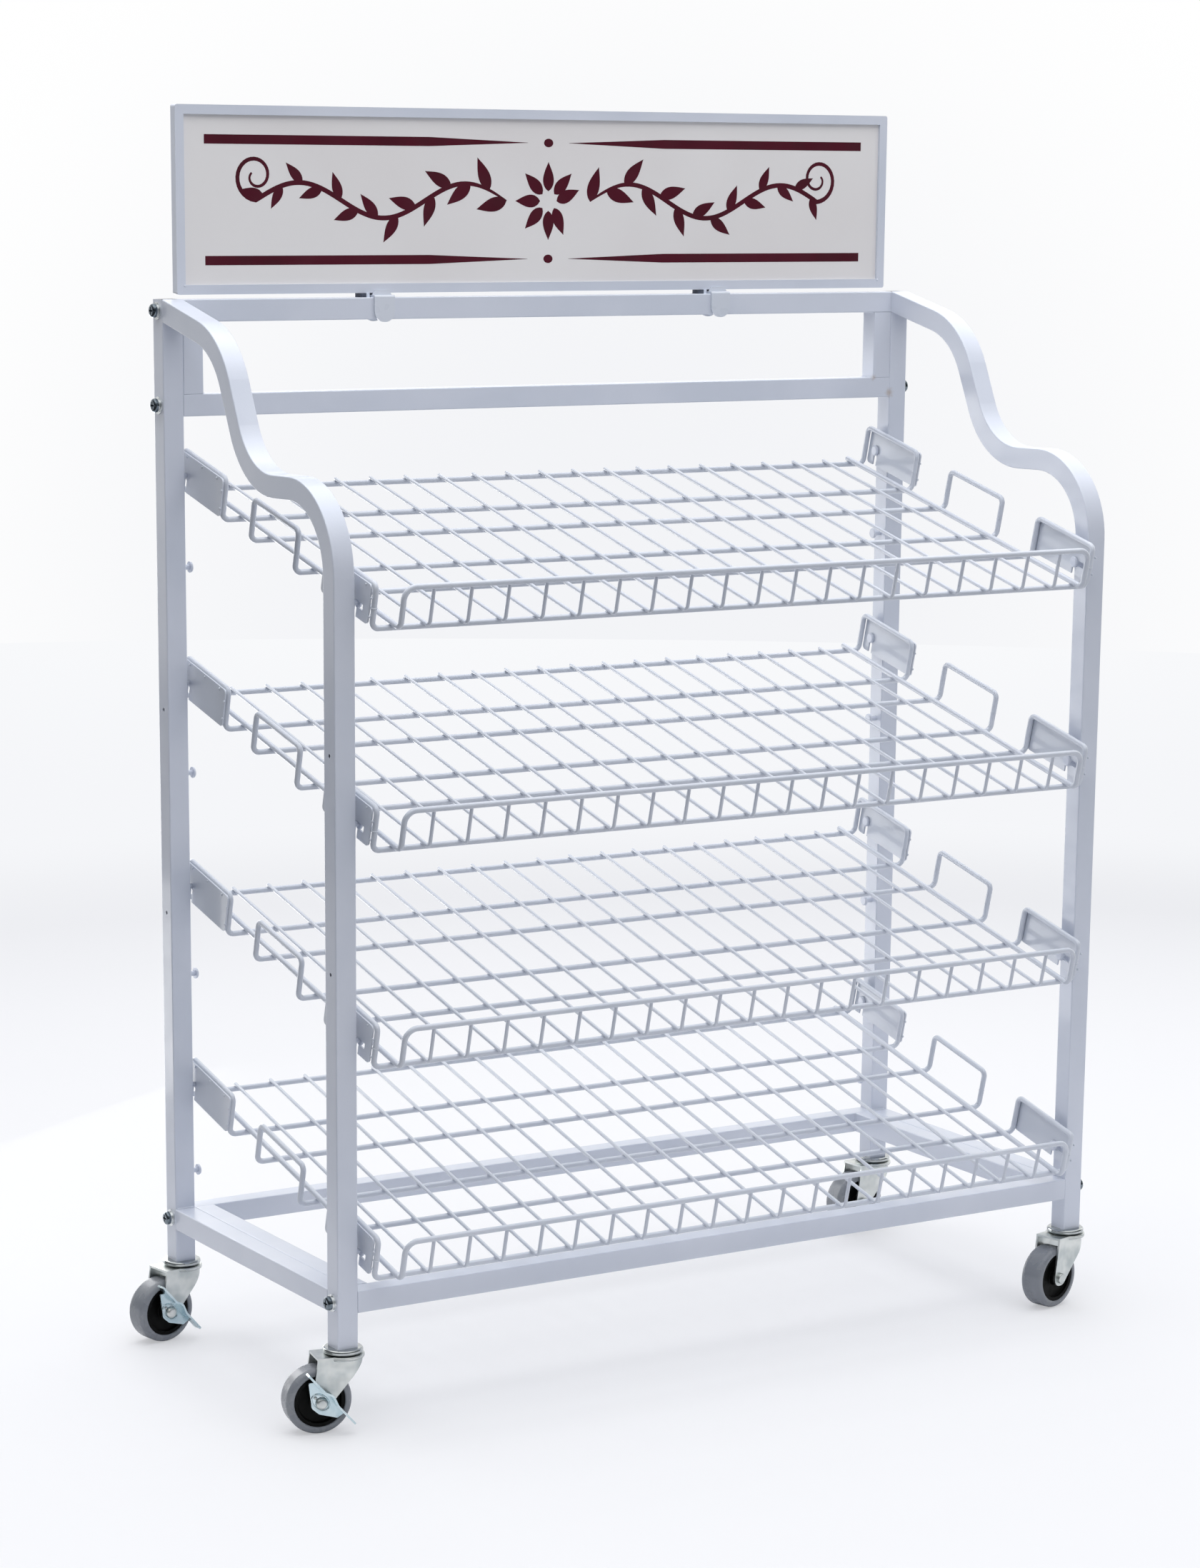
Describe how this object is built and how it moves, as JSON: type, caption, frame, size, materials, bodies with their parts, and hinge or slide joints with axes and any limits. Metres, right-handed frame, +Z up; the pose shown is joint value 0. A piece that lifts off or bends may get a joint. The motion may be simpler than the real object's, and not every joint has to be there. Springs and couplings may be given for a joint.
{
  "type": "bakery bread rack",
  "caption": "Rolling bakery bread rack: square-tube frame with swept uprights, tilted wire shelves hooked on studs, a framed sign above, and swivel casters with brake levers.",
  "frame": {"origin": "on the floor, midway between the side frames and midway between the front and rear posts", "axes": "+Z up, +Y towards the back with the sign, +X to the right of someone who faces the front"},
  "size_m": [1.1095, 0.5029, 1.4437],
  "materials": {
    "frame_paint": "smooth bluish-white powder coat",
    "shelf_paint": "smooth bluish-white powder coat",
    "bolt_zinc": "bright zinc plating",
    "nut_zinc": "zinc plating",
    "inner_plastic": "moulded",
    "cap_plastic": "moulded",
    "sign_frame_metal": "smooth pale grey",
    "sign_sheet": "glossy pale sheet with printed bars",
    "clip_paint": "smooth bluish-white powder coat",
    "pad_rubber": "matte",
    "caster_chrome": "polished plating",
    "caster_zinc": "pale satin zinc",
    "brake_zinc": "bluish zinc",
    "hub_plastic": "moulded",
    "tread_rubber": "satin"
  },
  "bodies": {
    "frame": {"left_rear_post": "frame_paint", "right_rear_post": "frame_paint", "left_front_upright": "frame_paint", "right_front_upright": "frame_paint", "left_side_rail": "frame_paint", "right_side_rail": "frame_paint", "base_front_rail": "frame_paint", "base_rear_rail": "frame_paint", "base_left_rail": "frame_paint", "base_right_rail": "frame_paint", "back_top_rail": "frame_paint", "back_lower_rail": "frame_paint", "back_left_stile": "frame_paint", "back_right_stile": "frame_paint", "frame_nuts": "nut_zinc", "caster_sockets": "inner_plastic", "post_caps": "cap_plastic", "frame_bolts": "bolt_zinc", "spring_washers": "bolt_zinc", "flat_washers": "bolt_zinc", "shelf_studs": "frame_paint", "sign_frame": "sign_frame_metal", "sign_panel": "sign_sheet", "sign_clips": "clip_paint", "sign_pads": "pad_rubber", "caster_stems": "caster_chrome"},
    "shelf_1": {"shelf_1_rings": "shelf_paint", "shelf_1_rim": "shelf_paint", "shelf_1_cross_wires": "shelf_paint", "shelf_1_hook_plates": "shelf_paint"},
    "shelf_2": {"shelf_2_rings": "shelf_paint", "shelf_2_rim": "shelf_paint", "shelf_2_cross_wires": "shelf_paint", "shelf_2_hook_plates": "shelf_paint"},
    "shelf_3": {"shelf_3_rings": "shelf_paint", "shelf_3_rim": "shelf_paint", "shelf_3_cross_wires": "shelf_paint", "shelf_3_hook_plates": "shelf_paint"},
    "shelf_4": {"shelf_4_rings": "shelf_paint", "shelf_4_rim": "shelf_paint", "shelf_4_cross_wires": "shelf_paint", "shelf_4_hook_plates": "shelf_paint"},
    "front_left_swivel": {"front_left_fork": "caster_zinc", "front_left_axle": "caster_zinc"},
    "front_left_wheel": {"front_left_hub": "hub_plastic", "front_left_tread": "tread_rubber"},
    "front_left_lever": {"front_left_brake": "brake_zinc"},
    "rear_left_swivel": {"rear_left_fork": "caster_zinc", "rear_left_axle": "caster_zinc"},
    "rear_left_wheel": {"rear_left_hub": "hub_plastic", "rear_left_tread": "tread_rubber"},
    "rear_left_lever": {"rear_left_brake": "brake_zinc"},
    "front_right_swivel": {"front_right_fork": "caster_zinc", "front_right_axle": "caster_zinc"},
    "front_right_wheel": {"front_right_hub": "hub_plastic", "front_right_tread": "tread_rubber"},
    "rear_right_swivel": {"rear_right_fork": "caster_zinc", "rear_right_axle": "caster_zinc"},
    "rear_right_wheel": {"rear_right_hub": "hub_plastic", "rear_right_tread": "tread_rubber"}
  },
  "joints": [
    {"name": "shelf_1_lift", "type": "hinge", "parent": "frame", "child": "shelf_1", "pos_m": [0, -0.20655, 0.9222], "axis": [1, 0, 0], "range_deg": [0, 4]},
    {"name": "shelf_2_lift", "type": "hinge", "parent": "frame", "child": "shelf_2", "pos_m": [0, -0.20655, 0.6822], "axis": [1, 0, 0], "range_deg": [0, 12]},
    {"name": "shelf_3_lift", "type": "hinge", "parent": "frame", "child": "shelf_3", "pos_m": [0, -0.20655, 0.4422], "axis": [1, 0, 0], "range_deg": [0, 12]},
    {"name": "shelf_4_lift", "type": "hinge", "parent": "frame", "child": "shelf_4", "pos_m": [0, -0.20655, 0.2022], "axis": [1, 0, 0], "range_deg": [0, 12]},
    {"name": "front_left_swivel_turn", "type": "hinge", "parent": "frame", "child": "front_left_swivel", "pos_m": [-0.5078, -0.20655, 0], "axis": [0, 0, 1], "continuous": true},
    {"name": "front_left_wheel_spin", "type": "hinge", "parent": "front_left_swivel", "child": "front_left_wheel", "pos_m": [-0.53822, -0.20058, 0.0381], "axis": [0.1925, 0.9813, 0], "continuous": true},
    {"name": "front_left_brake_press", "type": "hinge", "parent": "front_left_swivel", "child": "front_left_lever", "pos_m": [-0.53822, -0.20058, 0.0381], "axis": [-0.1925, -0.9813, 0], "range_deg": [0, 20]},
    {"name": "rear_left_swivel_turn", "type": "hinge", "parent": "frame", "child": "rear_left_swivel", "pos_m": [-0.5078, 0.20655, 0], "axis": [0, 0, 1], "continuous": true},
    {"name": "rear_left_wheel_spin", "type": "hinge", "parent": "rear_left_swivel", "child": "rear_left_wheel", "pos_m": [-0.53837, 0.20138, 0.0381], "axis": [-0.1668, 0.986, 0], "continuous": true},
    {"name": "rear_left_brake_press", "type": "hinge", "parent": "rear_left_swivel", "child": "rear_left_lever", "pos_m": [-0.53837, 0.20138, 0.0381], "axis": [0.1668, -0.986, 0], "range_deg": [0, 20]},
    {"name": "front_right_swivel_turn", "type": "hinge", "parent": "frame", "child": "front_right_swivel", "pos_m": [0.5078, -0.20655, 0], "axis": [0, 0, 1], "continuous": true},
    {"name": "front_right_wheel_spin", "type": "hinge", "parent": "front_right_swivel", "child": "front_right_wheel", "pos_m": [0.47777, -0.21426, 0.0381], "axis": [-0.2487, 0.9686, 0], "continuous": true},
    {"name": "rear_right_swivel_turn", "type": "hinge", "parent": "frame", "child": "rear_right_swivel", "pos_m": [0.5078, 0.20655, 0], "axis": [0, 0, 1], "continuous": true},
    {"name": "rear_right_wheel_spin", "type": "hinge", "parent": "rear_right_swivel", "child": "rear_right_wheel", "pos_m": [0.47692, 0.20385, 0.0381], "axis": [-0.0872, 0.9962, 0], "continuous": true}
  ]
}
